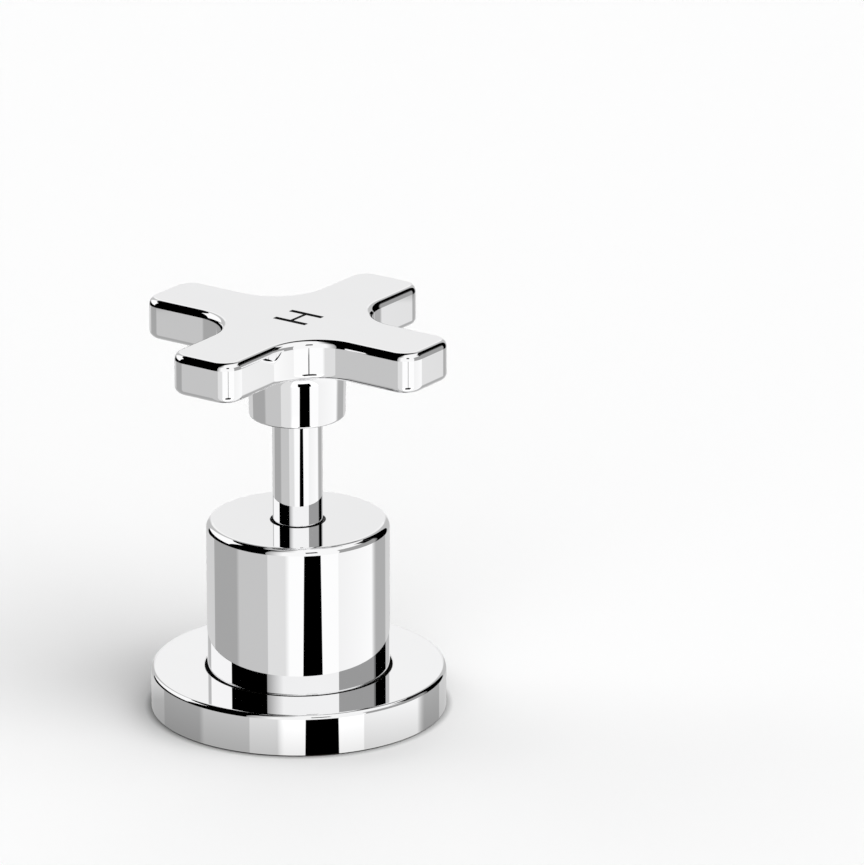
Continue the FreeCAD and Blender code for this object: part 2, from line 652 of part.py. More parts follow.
def stem_bush():
    """Plastic bush pressed into the cover's roof, in which the stem turns."""
    bore, outer, collar = f"{STEM} + running_play", "bush_dia / 2 - press_play", "bush_collar_dia / 2"
    low = f"{ROOF_LOW} - bush_collar"
    return turned("stem_bush", [(bore, low), (collar, low), (collar, ROOF_LOW), (outer, ROOF_LOW),
                                (outer, BUSH_TOP), (bore, BUSH_TOP)])


def flange():
    """Flange with a counterbore for the cover, a ring groove in it and a seal groove underneath."""
    outer, inner, far = "flange_dia / 2", "seal_inner_dia / 2", "seal_outer_dia / 2"
    groove, half = "cover_dia / 2 + ring_section + thread_play", "ring_section / 2 + thread_play"
    body = turned("flange", [
        (SHANK_HOLE, "0"), (inner, "0"), (inner, "seal_depth"), (far, "seal_depth"), (far, "0"),
        (f"{outer} - foot_bevel", "0"), (outer, "foot_bevel"), (outer, "flange_thick"),
        (COVER_BORE, "flange_thick"), (COVER_BORE, f"ring_height + {half}"),
        (groove, f"ring_height + {half}"), (groove, f"ring_height - ({half})"),
        (COVER_BORE, f"ring_height - ({half})"), (COVER_BORE, COVER_LOW), (SHANK_HOLE, COVER_LOW)])
    rounded(body, "flange_round", "flange_edge", circle_at(outer, "flange_thick"))
    return body


def backnut():
    """Hexagon nut under the hob, its corners bevelled on both faces."""
    body = doc.addObject("PartDesign::Body", "backnut")
    low, corner = f"{NUT_TOP} - nut_thick", "nut_flats / 2 / cos(30 deg) + edge_break"
    padded(body, "nut_hexagon", [hexagon("nut_flats"), SHANK_THREAD], low, NUT_TOP)
    for name, face, way in (("nut_upper_bevel", NUT_TOP, "-"), ("nut_lower_bevel", low, "+")):
        grooved(body, name, [("nut_flats / 2", face), (corner, face), (corner, f"{face} {way} nut_bevel")])
    return body


def main():
    """Build every sub-part, test it and write its STEP file."""
    fill_sheet()
    nodes = [
        cross_handle(), handle_hub(), hub_grub_screw(), spindle_extension(), extension_screw(),
        cartridge_spindle(), spindle_o_rings(), spindle_circlip(), drive_disc(), fixed_disc(),
        ring("thrust_washer", f"{SPINDLE} + running_play", THRUST, THRUST_LOW, "-nose_roof_depth"),
        cartridge_body(),
        ring("cartridge_washer", "land_bore / 2", "shank_bore / 2 - loose_gap", "-land_top_depth",
             "-collar_low_depth"),
        ring("seat_seal", "port_outer_dia / 2", THRUST, "-seat_depth", "-fixed_low_depth"),
        add_outlet(valve_body()), body_cover(), stem_bush(), flange(),
        torus("flange_o_ring", "cover_dia / 2 + ring_section / 2 + press_play", "ring_section / 2",
              "ring_height"),
        ring("deck_seal", "seal_inner_dia / 2 + press_play", "seal_outer_dia / 2 - press_play", "0",
             "seal_depth"),
        ring("deck_washer", SHANK_HOLE, "washer_dia / 2", CLAMP_TOP, "-hob_thick"),
        ring("clamp_washer", SHANK_HOLE, "washer_dia / 2", NUT_TOP, CLAMP_TOP),
        backnut(),
    ]
    doc.recompute()
    for item in doc.Objects:
        assert not {"Invalid", "Error"} & set(item.State), f"{item.Label}: {item.State}"
    os.makedirs("parts", exist_ok=True)
    for node in nodes:
        assert not node.Shape.isNull() and node.Shape.isValid(), node.Label
        node.Shape.exportStep(f"parts/{node.Label}.step")
        box = node.Shape.BoundBox
        print(f"{node.Label:18s} solids {len(node.Shape.Solids)}  volume {node.Shape.Volume:9.1f}  "
              f"z {box.ZMin:7.2f} to {box.ZMax:7.2f}  wide {box.XLength:6.2f} x {box.YLength:6.2f}")


main()
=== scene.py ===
"""Looks of a deck-mounted tap with a cross handle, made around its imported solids.

Sizes are in millimetres, in the solids' own frame: Z up along the handle's axis, the hob's top face
at zero, the outlet along +X and the user at -Y. Meshes are scaled to metres when they are done.
"""
import json
import logging
import math
from collections.abc import Sequence
from dataclasses import dataclass
from enum import Enum
from functools import partial, reduce

import bmesh
import bpy
from bmesh.types import BMEdge, BMesh, BMFace, BMVert
from bpy.types import Material, Node, NodeSocket, NodeTree, Object, ShaderNodeTree
from mathutils import Matrix, Vector


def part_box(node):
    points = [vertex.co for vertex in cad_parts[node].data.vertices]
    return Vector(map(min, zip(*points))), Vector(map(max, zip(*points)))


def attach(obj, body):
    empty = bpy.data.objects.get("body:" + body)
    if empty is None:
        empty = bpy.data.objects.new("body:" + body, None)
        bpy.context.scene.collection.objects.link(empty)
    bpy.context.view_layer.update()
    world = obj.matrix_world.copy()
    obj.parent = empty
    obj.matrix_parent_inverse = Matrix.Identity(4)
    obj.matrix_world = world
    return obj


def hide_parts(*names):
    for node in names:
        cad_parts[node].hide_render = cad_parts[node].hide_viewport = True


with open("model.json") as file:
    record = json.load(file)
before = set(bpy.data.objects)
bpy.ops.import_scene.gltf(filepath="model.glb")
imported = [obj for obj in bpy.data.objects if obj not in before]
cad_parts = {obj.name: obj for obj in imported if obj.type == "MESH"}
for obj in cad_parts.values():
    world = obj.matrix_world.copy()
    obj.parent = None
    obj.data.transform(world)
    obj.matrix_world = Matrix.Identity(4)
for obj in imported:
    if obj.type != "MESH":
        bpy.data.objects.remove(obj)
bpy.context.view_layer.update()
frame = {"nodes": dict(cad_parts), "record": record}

MM = 0.001
FULL_TURN = 2 * math.pi
# Half of a hexagon's width across flats over its corner radius
HEXAGON_SLANT = math.cos(FULL_TURN / 12)
# Height of the screw at the back of the hub
SCREW_HEIGHT = 62.6
# Straight steps in a full turn and in a rounded corner, and the distance within which points merge
TURN_STEPS = 192
ROUND_STEPS = 12
MERGE = 1e-4
# Sharpest edge that is shaded smooth, and how far the normals follow the largest faces
SMOOTH_ANGLE = math.radians(35)
LARGEST_FACE = 100
SAME_AREA = 1e-7
# Bearing straight behind the tap, and the lowest and highest elevation, in degrees
BEHIND = 180.0
NADIR, ZENITH = -90.0, 90.0
log = logging.getLogger("hob_tap")

Colour = tuple[float, float, float]
Place = tuple[float, float, float]
# What can feed a node's input
Source = NodeSocket | float | Colour


class Body(Enum):
    """Bodies of the frame that a piece can ride on."""

    FIXED = "tap_body"
    TURNING = "turning_handle"


class Slot(Enum):
    """Material slots of the record."""

    CHROME = "chrome"
    BRASS = "brass"
    STEEL = "steel"
    RUBBER = "black_rubber"
    CERAMIC = "ceramic"
    ACETAL = "black_acetal"
    PTFE = "white_ptfe"
    FIBRE = "red_fibre"


class Operation(Enum):
    """Ways to combine two closed meshes."""

    CUT = "DIFFERENCE"
    JOIN = "UNION"


class Axis(Enum):
    """Turns of an upright mesh, named for where its top then points."""

    UP = Matrix.Identity(3)
    UP_QUARTER = Matrix.Rotation(FULL_TURN / 4, 3, "Z")
    BACK = Matrix.Rotation(-FULL_TURN / 4, 3, "X")
    RIGHT = Matrix.Rotation(FULL_TURN / 4, 3, "Y")
    DOWN = Matrix.Rotation(FULL_TURN / 2, 3, "X")


@dataclass(frozen=True)
class Corner:
    """Corner of a turned outline, at a radius and a height, rounded by an arc where round is set."""

    radius: float
    height: float
    round: float = 0.0


def span(node: str) -> tuple[float, float, float]:
    """Return a solid's reach along +X and its lowest and highest level, in millimetres."""
    low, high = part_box(node)
    return high.x / MM, low.z / MM, high.z / MM


def round_off(bm: BMesh, geom: list[BMVert] | list[BMEdge], size: float, steps: int = ROUND_STEPS,
              affect: str = "VERTICES") -> None:
    """Round vertices of an outline, or edges of a solid, by arcs."""
    bmesh.ops.bevel(bm, geom=geom, offset=size, segments=steps, profile=0.5, affect=affect, material=-1)


def trim(bm: BMesh, place: Place, outwards: Place) -> None:
    """Cut a mesh at a plane and drop what lies outwards of it."""
    bmesh.ops.bisect_plane(bm, geom=bm.verts[:] + bm.edges[:] + bm.faces[:], dist=MERGE, plane_co=place,
                           plane_no=outwards, clear_outer=True)


def fill_holes(bm: BMesh) -> None:
    """Fill every open boundary of a mesh with a face."""
    bmesh.ops.holes_fill(bm, edges=[edge for edge in bm.edges if edge.is_boundary])


def turned(outline: Sequence[Corner], closed: bool = True) -> BMesh:
    """Turn an outline about Z.

    Args:
        outline: Corners of the outline, in order.
        closed: Whether the last corner joins the first; an open outline ends on the axis.

    Returns:
        A closed mesh in millimetres.
    """
    bm = bmesh.new()
    corners = [bm.verts.new((corner.radius, 0.0, corner.height)) for corner in outline]
    for pair in zip(corners, corners[1:]):
        bm.edges.new(pair)
    if closed:
        bm.edges.new((corners[-1], corners[0]))
    for corner, vertex in zip(outline, corners):
        if corner.round:
            round_off(bm, [vertex], corner.round)
    bmesh.ops.spin(bm, geom=bm.verts[:] + bm.edges[:], axis=(0, 0, 1), angle=FULL_TURN, steps=TURN_STEPS,
                   use_merge=True)
    return closed_up(bm)


def closed_up(bm: BMesh) -> BMesh:
    """Merge a mesh's doubles, turn all its faces outwards and return it."""
    bmesh.ops.remove_doubles(bm, verts=bm.verts[:], dist=MERGE)
    bmesh.ops.recalc_face_normals(bm, faces=bm.faces[:])
    return bm


def cylinder(radius: float, low: float, high: float) -> BMesh:
    """Make a closed upright cylinder between two levels on the axis."""
    return turned((Corner(0, low), Corner(radius, low), Corner(radius, high), Corner(0, high)), closed=False)


def linked_object(name: str, *parts: BMesh) -> Object:
    """Return an object of the scene made of meshes that don't touch each other; they are used up."""
    mesh = bpy.data.meshes.new(name)
    whole, *others = parts
    for part in others:
        part.to_mesh(mesh)
        part.free()
        whole.from_mesh(mesh)
    whole.to_mesh(mesh)
    whole.free()
    item = bpy.data.objects.new(name, mesh)
    bpy.context.scene.collection.objects.link(item)
    return item


def combined(base: BMesh, operation: Operation, *tools: BMesh) -> BMesh:
    """Cut closed meshes from another, or join them to it.

    Args:
        base: Mesh that is changed; it is used up.
        operation: What is done.
        tools: Meshes that cut it or are added, clear of each other; they are used up.

    Returns:
        The resulting mesh.
    """
    objects = [linked_object("base", base), linked_object("tools", *tools)]
    modifier = objects[0].modifiers.new("combine", "BOOLEAN")
    modifier.operation = operation.value
    modifier.solver = "EXACT"
    modifier.object = objects[1]
    evaluated = objects[0].evaluated_get(bpy.context.evaluated_depsgraph_get())
    result = bmesh.new()
    result.from_mesh(evaluated.to_mesh())
    evaluated.to_mesh_clear()
    for item in objects:
        bpy.data.meshes.remove(item.data)
    bmesh.ops.remove_doubles(result, verts=result.verts[:], dist=MERGE)
    return result


def laid(bm: BMesh, axis: Axis, place: Place) -> BMesh:
    """Lay an upright mesh along an axis, move its origin to a place and return it."""
    bmesh.ops.rotate(bm, verts=bm.verts[:], matrix=axis.value)
    bmesh.ops.translate(bm, verts=bm.verts[:], vec=place)
    return bm


def hexagon(flats: float, low: float, high: float) -> BMesh:
    """Make a closed upright hexagonal bar of a width across flats, with two corners on X."""
    bm = bmesh.new()
    corner = flats / 2 / HEXAGON_SLANT
    bmesh.ops.create_cone(bm, cap_ends=True, segments=6, radius1=corner, radius2=corner, depth=high - low)
    return closed_up(laid(bm, Axis.UP_QUARTER, (0, 0, (low + high) / 2)))


@dataclass(frozen=True)
class Thread:
    """Thread with flat crests and roots.

    Attributes:
        pitch: Height of one turn.
        depth: Depth from crest to root.
        crest: Width of the crest as a share of the pitch.
        root: Width of the root as a share of the pitch.
        steps: Straight steps in one turn.
        margin: How far cutting rings reach past the thread.
        relief: Width of the relief groove at the foot of a spigot.
        sink: How far that groove is cut below the root.
    """

    pitch: float
    depth: float
    crest: float = 0.125
    root: float = 0.16
    steps: int = 48
    margin: float = 1.0
    relief: float = 1.2
    sink: float = 0.15

    def rod(self, radius: float, low: float, high: float) -> BMesh:
        """Make an upright threaded rod; all rods of one thread are in step with each other.

        Args:
            radius: Radius over the crest.
            low: Its lower end.
            high: Its upper end.

        Returns:
            A closed mesh in millimetres.
        """
        bm = bmesh.new()
        flank = (1 - self.crest - self.root) / 2
        inner = radius - self.depth
        start = math.floor(low / self.pitch) - 1
        shape = ((0.0, radius), (self.crest, radius), (self.crest + flank, inner), (1 - flank, inner),
                 (1.0, radius))
        outline = [bm.verts.new((reach, 0.0, self.pitch * (start + share))) for share, reach in shape]
        for pair in zip(outline, outline[1:]):
            bm.edges.new(pair)
        turns = math.ceil(high / self.pitch) - start + 1
        bmesh.ops.spin(bm, geom=bm.verts[:] + bm.edges[:], axis=(0, 0, 1), angle=FULL_TURN * turns,
                       dvec=(0, 0, self.pitch / self.steps), steps=self.steps * turns)
        bmesh.ops.remove_doubles(bm, verts=bm.verts[:], dist=MERGE)
        for level, side in ((low, -1), (high, 1)):
            trim(bm, (0, 0, level), (0, 0, side))
        fill_holes(bm)
        return closed_up(bm)

    def spigot(self, radius: float, length: float, lead: float, overlap: float) -> BMesh:
        """Make an upright threaded spigot that stands on level zero.

        Args:
            radius: Radius over the crest.
            length: Its height.
            lead: Bevel of its free end.
            overlap: How far its plain foot sinks into what carries it.

        Returns:
            A closed mesh in millimetres.
        """
        past = radius + self.margin
        neck = radius - self.depth - self.sink
        foot = turned((Corner(neck, -overlap - self.margin), Corner(past, -overlap - self.margin),
                       Corner(past, self.relief + past - neck), Corner(neck, self.relief)))
        end = turned((Corner(radius - lead - self.margin, length + self.margin),
                      Corner(past, length - lead - self.margin), Corner(past, length + self.margin)))
        return combined(self.rod(radius, -overlap, length), Operation.CUT, foot, end)


SHANK_THREAD = Thread(pitch=1.5, depth=0.92)
PIPE_THREAD = Thread(pitch=1.814, depth=1.162, crest=0.17, root=0.17)
SCREW_THREAD = Thread(pitch=0.8, depth=0.49, steps=40, relief=0.0, sink=0.0)


class Mixed(Enum):
    """What can be mixed: Blender's name for the data and the type of its sockets."""

    LEVEL = ("FLOAT", "VALUE")
    COLOUR = ("RGBA", "RGBA")


class Sheet:
    """Node sheet of a material, group or world, with short ways to add and join nodes."""

    def __init__(self, tree: NodeTree) -> None:
        """Start on an empty tree."""
        self.tree = tree
        tree.nodes.clear()

    def node(self, kind: str, **settings: object) -> Node:
        """Add a node by Blender's name for its type, set its properties and return it."""
        node = self.tree.nodes.new(kind)
        for key, value in settings.items():
            setattr(node, key, value)
        return node

    def feed(self, value: Source, target: NodeSocket) -> None:
        """Link an output to an input, or set the input to a number or an opaque colour."""
        if isinstance(value, NodeSocket):
            self.tree.links.new(value, target)
        else:
            target.default_value = (*value, 1.0) if isinstance(value, tuple) else value

    def split(self, vector: NodeSocket) -> list[NodeSocket]:
        """Return the X, Y and Z of a vector."""
        node = self.node("ShaderNodeSeparateXYZ")
        self.feed(vector, node.inputs[0])
        return node.outputs[:]

    def math(self, operation: str, *values: NodeSocket | float) -> NodeSocket:
        """Return the result of a Math node whose inputs are fed in order."""
        node = self.node("ShaderNodeMath", operation=operation)
        for value, target in zip(values, node.inputs):
            self.feed(value, target)
        return node.outputs[0]

    def product(self, *masks: NodeSocket) -> NodeSocket:
        """Return the product of masks."""
        return reduce(partial(self.math, "MULTIPLY"), masks)

    def mix(self, factor: NodeSocket, first: Source, second: Source,
            kind: Mixed = Mixed.LEVEL) -> NodeSocket:
        """Mix two levels or two colours.

        Args:
            factor: Share of the second.
            first: What there is without the second.
            second: What is mixed in.
            kind: What the two are.

        Returns:
            The mixture.
        """
        data, socket = kind.value
        node = self.node("ShaderNodeMix", data_type=data)
        self.feed(factor, node.inputs["Factor"])
        for name, value in (("A", first), ("B", second)):
            self.feed(value, next(item for item in node.inputs if (item.name, item.type) == (name, socket)))
        return next(item for item in node.outputs if item.type == socket)

    def mapped(self, value: NodeSocket, ends: tuple[float, float], start: float = 0.0,
               stop: float = 1.0) -> NodeSocket:
        """Map a value from one range to another.

        Args:
            value: What is mapped.
            ends: Values at the start and at the stop.
            start: Lower end of the incoming range.
            stop: Upper end of the incoming range.

        Returns:
            The mapped value, kept between the ends.
        """
        node = self.node("ShaderNodeMapRange")
        self.feed(value, node.inputs["Value"])
        for name, number in zip(("From Min", "From Max", "To Min", "To Max"), (start, stop, *ends)):
            self.feed(number, node.inputs[name])
        return node.outputs["Result"]

    def step(self, value: NodeSocket, level: float, edge: float, rising: bool = True) -> NodeSocket:
        """Mask what is above a level, or below it where not rising, with a soft edge of a half width."""
        return self.mapped(value, (0.0, 1.0) if rising else (1.0, 0.0), level - edge, level + edge)


@dataclass(frozen=True)
class Pattern:
    """Noise that several finishes share, as a shader group with a mask.

    Attributes:
        name: Name of the group.
        detail: Detail of the noise.
        low: Noise where the mask is empty.
        high: Noise where the mask is full.
        rough: Roughness of the noise.
        ringed: Whether the noise runs in rings round the Z axis.
    """

    name: str
    detail: float
    low: float
    high: float
    rough: float = 0.5
    ringed: bool = False

    def group(self) -> ShaderNodeTree:
        """Return the pattern's group, made on first use."""
        return bpy.data.node_groups.get(self.name) or self.made()

    def made(self) -> ShaderNodeTree:
        """Make the group, which turns a place and a scale into the mask."""
        group = bpy.data.node_groups.new(self.name, "ShaderNodeTree")
        for name, side, kind in (("Vector", "INPUT", "Vector"), ("Scale", "INPUT", "Float"),
                                 ("Mask", "OUTPUT", "Float")):
            group.interface.new_socket(name, in_out=side, socket_type=f"NodeSocket{kind}")
        sheet = Sheet(group)
        inlet, outlet = sheet.node("NodeGroupInput"), sheet.node("NodeGroupOutput")
        place = inlet.outputs["Vector"]
        noise = sheet.node("ShaderNodeTexNoise", noise_dimensions="2D" if self.ringed else "3D")
        sheet.feed(self.rings(sheet, place) if self.ringed else place, noise.inputs["Vector"])
        sheet.feed(inlet.outputs["Scale"], noise.inputs["Scale"])
        sheet.feed(self.detail, noise.inputs["Detail"])
        sheet.feed(self.rough, noise.inputs["Roughness"])
        mask = sheet.mapped(noise.outputs["Fac"], (0.0, 1.0), self.low, self.high)
        sheet.feed(mask, outlet.inputs["Mask"])
        return group

    def rings(self, sheet: Sheet, place: NodeSocket) -> NodeSocket:
        """Return a place's distance from the Z axis and its height, as X and Y."""
        x, y, z = sheet.split(place)
        across, along = sheet.math("MULTIPLY", x, x), sheet.math("MULTIPLY", y, y)
        rings = sheet.node("ShaderNodeCombineXYZ")
        sheet.feed(sheet.math("SQRT", sheet.math("ADD", across, along)), rings.inputs["X"])
        sheet.feed(z, rings.inputs["Y"])
        return rings.outputs[0]


HAZE = Pattern("handling_haze", detail=4.0, low=0.4, high=0.7, rough=0.6)
TURNING = Pattern("turning_marks", detail=2.0, low=0.3, high=0.7, ringed=True)
GRAIN = Pattern("fine_grain", detail=3.0, low=0.25, high=0.75)
HAZE_SCALE = 60.0


def new_material(name: str, shader: str) -> tuple[Material, Sheet, Node]:
    """Start a material with a type of shader, and return it, its node sheet and its shader."""
    material = bpy.data.materials.new(name)
    material.use_nodes = True
    sheet = Sheet(material.node_tree)
    surface = sheet.node(shader)
    sheet.feed(surface.outputs["BSDF"], sheet.node("ShaderNodeOutputMaterial").inputs["Surface"])
    return material, sheet, surface


@dataclass(frozen=True)
class Finish:
    """Finish whose colour, roughness and relief follow one pattern, hazed over by handling.

    Attributes:
        name: Name of the material.
        slot: Slot of the record that it belongs to.
        dark: Colour in the pattern's hollows.
        light: Colour on its peaks.
        rough: Roughness in the hollows and on the peaks.
        relief: Height of the pattern, in metres.
        metallic: Share of metal.
        pattern: The pattern.
        scale: Scale of the pattern.
        gloss: Specular level of the surface.
    """

    name: str
    slot: Slot
    dark: Colour
    light: Colour
    rough: tuple[float, float]
    relief: float
    metallic: float
    pattern: Pattern
    scale: float
    gloss: float = 0.5

    def material(self) -> Material:
        """Return the finish's material, made on first use."""
        return bpy.data.materials.get(self.name) or self.made()

    def made(self) -> Material:
        """Make the material and its nodes."""
        material, sheet, surface = new_material(self.name, "ShaderNodeBsdfPrincipled")
        sheet.feed(self.metallic, surface.inputs["Metallic"])
        sheet.feed(self.gloss, surface.inputs["Specular IOR Level"])
        place = sheet.node("ShaderNodeTexCoord").outputs["Object"]
        masks = []
        for pattern, scale in ((self.pattern, self.scale), (HAZE, HAZE_SCALE)):
            node = sheet.node("ShaderNodeGroup", node_tree=pattern.group())
            sheet.feed(place, node.inputs["Vector"])
            sheet.feed(scale, node.inputs["Scale"])
            masks.append(node.outputs["Mask"])
        mixed = sheet.math("MULTIPLY", sheet.math("ADD", *masks), 1 / len(masks))
        colour = self.toned(sheet, place, sheet.mix(mixed, self.dark, self.light, Mixed.COLOUR))
        sheet.feed(colour, surface.inputs["Base Color"])
        sheet.feed(sheet.mapped(mixed, self.rough), surface.inputs["Roughness"])
        if self.relief:
            bump = sheet.node("ShaderNodeBump")
            sheet.feed(self.relief, bump.inputs["Distance"])
            sheet.feed(masks[0], bump.inputs["Height"])
            sheet.feed(bump.outputs["Normal"], surface.inputs["Normal"])
        return material

    def toned(self, sheet: Sheet, place: NodeSocket, colour: NodeSocket) -> NodeSocket:
        """Return the colour with any painted shade over it; most finishes have none."""
        return colour


@dataclass(frozen=True)
class Plated(Finish):
    """Polished plating whose colour is darkened towards the hob, as painted shade.

    Attributes:
        foot_shade: Colour of the painted shade at the hob.
        foot_shade_top: Height above the hob where the painted shade ends, in metres.
    """

    foot_shade: Colour = (0.68, 0.68, 0.68)
    foot_shade_top: float = 0.0085

    def toned(self, sheet: Sheet, place: NodeSocket, colour: NodeSocket) -> NodeSocket:
        """Return the colour of the clean plating with the painted shade over it."""
        # Painted shade: the colour is mixed towards a grey over the lowest few millimetres above the hob.
        share = sheet.mapped(sheet.split(place)[-1], (1.0, 0.0), 0.0, self.foot_shade_top)
        return sheet.mix(share, colour, self.foot_shade, Mixed.COLOUR)


# Chrome, with painted shade near the hob.
CHROME = Plated("polished_chrome", Slot.CHROME, (0.93, 0.93, 0.935), (0.945, 0.945, 0.95),
                (0.006, 0.018), 0.0, 1.0, HAZE, 25.0)
# Near-black colour of the engraved mark's sunk faces.
MARK_DARK = Finish("engraving_near_black", Slot.CHROME, (0.008, 0.008, 0.008), (0.02, 0.02, 0.02),
                  (0.6, 0.8), 0.0, 0.0, GRAIN, 4000.0, gloss=0.05)
# Near-black metal colour, painted shade in the flange's counterbore and at its foot.
RECESS_SHADE = Finish("painted_recess_shade", Slot.BRASS, (0.03, 0.028, 0.025), (0.06, 0.056, 0.05),
                    (0.45, 0.6), 3e-6, 1.0, TURNING, 4000.0)
BRASS = Finish("machined_brass", Slot.BRASS, (0.55, 0.36, 0.13), (0.74, 0.55, 0.25),
               (0.18, 0.34), 4e-6, 1.0, TURNING, 5000.0)
STEEL = Finish("turned_steel", Slot.STEEL, (0.42, 0.42, 0.43), (0.62, 0.62, 0.63),
               (0.2, 0.36), 3e-6, 1.0, TURNING, 6000.0)
RUBBER = Finish("sealing_rubber", Slot.RUBBER, (0.018, 0.018, 0.019), (0.04, 0.04, 0.042),
                (0.62, 0.8), 1.2e-5, 0.0, GRAIN, 3000.0)
CERAMIC = Finish("lapped_ceramic", Slot.CERAMIC, (0.84, 0.82, 0.78), (0.91, 0.90, 0.87),
                 (0.16, 0.28), 1e-6, 0.0, GRAIN, 5000.0)
ACETAL = Finish("black_bush", Slot.ACETAL, (0.012, 0.012, 0.013), (0.025, 0.025, 0.027),
                (0.4, 0.55), 4e-6, 0.0, TURNING, 5000.0)
PTFE = Finish("white_washer", Slot.PTFE, (0.82, 0.82, 0.80), (0.89, 0.89, 0.87),
              (0.45, 0.6), 3e-6, 0.0, TURNING, 4000.0)
FIBRE = Finish("pressed_fibre", Slot.FIBRE, (0.32, 0.09, 0.06), (0.46, 0.16, 0.11),
               (0.75, 0.9), 2e-5, 0.0, GRAIN, 1800.0)


def make_piece(name: str, bm: BMesh, body: Body, finishes: Sequence[Finish], node: str,
               scale: float = MM) -> Object:
    """Turn a finished mesh into a piece that rides on a body and replaces a solid of the frame.

    Args:
        name: Name of the piece.
        bm: Its mesh, which is used up.
        body: Body that carries it.
        finishes: Its finishes; a face's material index picks one.
        node: Name of the solid that it replaces.
        scale: Size of the mesh's unit in metres.

    Returns:
        The piece.
    """
    bmesh.ops.scale(bm, vec=(scale, scale, scale), verts=bm.verts[:])
    piece = linked_object(name, bm)
    for finish in finishes:
        piece.data.materials.append(finish.material())
    piece.data.shade_smooth()
    piece.data.set_sharp_from_angle(angle=SMOOTH_ANGLE)
    normals = piece.modifiers.new("even_normals", "WEIGHTED_NORMAL")
    normals.weight, normals.thresh = LARGEST_FACE, SAME_AREA
    normals.keep_sharp = True
    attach(piece, body.value)
    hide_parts(node)
    return piece


@dataclass(frozen=True)
class Stroke:
    """Stroke of the mark on the handle: its middle, its half width and its half height."""

    x: float
    y: float
    half_x: float
    half_y: float

    def holds(self, face: BMFace) -> bool:
        """Tell whether a face's middle lies in the stroke."""
        middle = face.calc_center_median()
        return abs(middle.x - self.x) < self.half_x and abs(middle.y - self.y) < self.half_y


@dataclass
class CrossHandle:
    """Cross handle with a plain engraved mark for hot water, upright for a user at -Y."""

    arm_width: float = 14.3
    tip_round: float = 3.85
    web_round: float = 9.75
    edge_round: float = 1.3
    draft: float = math.radians(0.12)
    tip_steps: int = 14
    web_steps: int = 28
    edge_steps: int = 10
    socket_radius: float = 6.02
    socket_depth: float = 4.02
    socket_past: float = 1.0
    mark_middle: tuple[float, float] = (0.2, -0.25)
    mark_width: float = 5.0
    mark_height: float = 7.2
    leg_width: float = 1.15
    bar_width: float = 0.75
    mark_slope: float = 0.12
    mark_depth: float = 0.25

    def outline(self, reach: float) -> BMesh:
        """Draw a cross of a reach from the axis as one face at level zero, with rounded corners."""
        bm = bmesh.new()
        half = self.arm_width / 2
        webs, tips, ring = [], [], []
        for quarter in range(4):
            turn = Matrix.Rotation(quarter * FULL_TURN / 4, 3, "Z")
            for x, y, group in ((reach, -half, tips), (reach, half, tips), (half, half, webs)):
                ring.append(bm.verts.new(turn @ Vector((x, y, 0))))
                group.append(ring[-1])
        bm.faces.new(ring)
        round_off(bm, webs, self.web_round, self.web_steps)
        round_off(bm, tips, self.tip_round, self.tip_steps)
        return bm

    def solid(self) -> BMesh:
        """Raise the cross to its thickness, round its edges and bore the hub's socket."""
        reach, low, high = span("cross_handle")
        bm = laid(self.outline(reach), Axis.UP, (0, 0, low))
        bmesh.ops.inset_region(bm, faces=bm.faces[:], use_boundary=True, use_even_offset=True,
                               thickness=(high - low) * math.tan(self.draft), depth=high - low)
        fill_holes(bm)
        bmesh.ops.recalc_face_normals(bm, faces=bm.faces[:])
        flat = [edge for edge in bm.edges if abs(edge.verts[0].co.z - edge.verts[1].co.z) < MERGE]
        round_off(bm, flat, self.edge_round, self.edge_steps, affect="EDGES")
        socket = cylinder(self.socket_radius, low - self.socket_past, low + self.socket_depth)
        return combined(bm, Operation.CUT, socket)

    def strokes(self) -> tuple[Stroke, ...]:
        """Place the strokes of the mark: two legs along Y and a bar between them."""
        x, y = self.mark_middle
        leg_x = self.mark_width / 2
        leg, bar = self.leg_width / 2, self.bar_width / 2
        legs = tuple(Stroke(x + side * leg_x, y, leg, self.mark_height / 2) for side in (-1, 1))
        return (*legs, Stroke(x, y, leg_x, bar))

    def engrave(self, bm: BMesh) -> None:
        """Sink the mark into the top of the handle's mesh."""
        _, _, high = span("cross_handle")

        def top() -> list[BMFace]:
            """Find the faces of the flat top."""
            return [face for face in bm.faces if abs(face.calc_center_median().z - high) < MERGE]

        cuts = set()
        for stroke in self.strokes():
            cuts |= {((1, 0, 0), stroke.x + side * stroke.half_x) for side in (-1, 1)}
            cuts |= {((0, 1, 0), stroke.y + side * stroke.half_y) for side in (-1, 1)}
        for axis, place in sorted(cuts):
            faces = top()
            edges = {edge for face in faces for edge in face.edges}
            verts = {vert for face in faces for vert in face.verts}
            bmesh.ops.bisect_plane(bm, geom=[*faces, *edges, *verts], dist=MERGE, plane_no=axis,
                                   plane_co=Vector(axis) * place)
        sunk = [face for face in top() if any(stroke.holds(face) for stroke in self.strokes())]
        walls = bmesh.ops.inset_region(bm, faces=sunk, use_even_offset=True, thickness=self.mark_slope,
                                       depth=-self.mark_depth)["faces"]
        # The mark's sunk faces and their walls take the near-black second finish.
        for face in (*sunk, *walls):
            face.material_index = 1

    def build(self) -> Object:
        """Build, dress and return the handle."""
        bm = self.solid()
        self.engrave(bm)
        return make_piece("polished_handle", bm, Body.TURNING, (CHROME, MARK_DARK), "cross_handle")


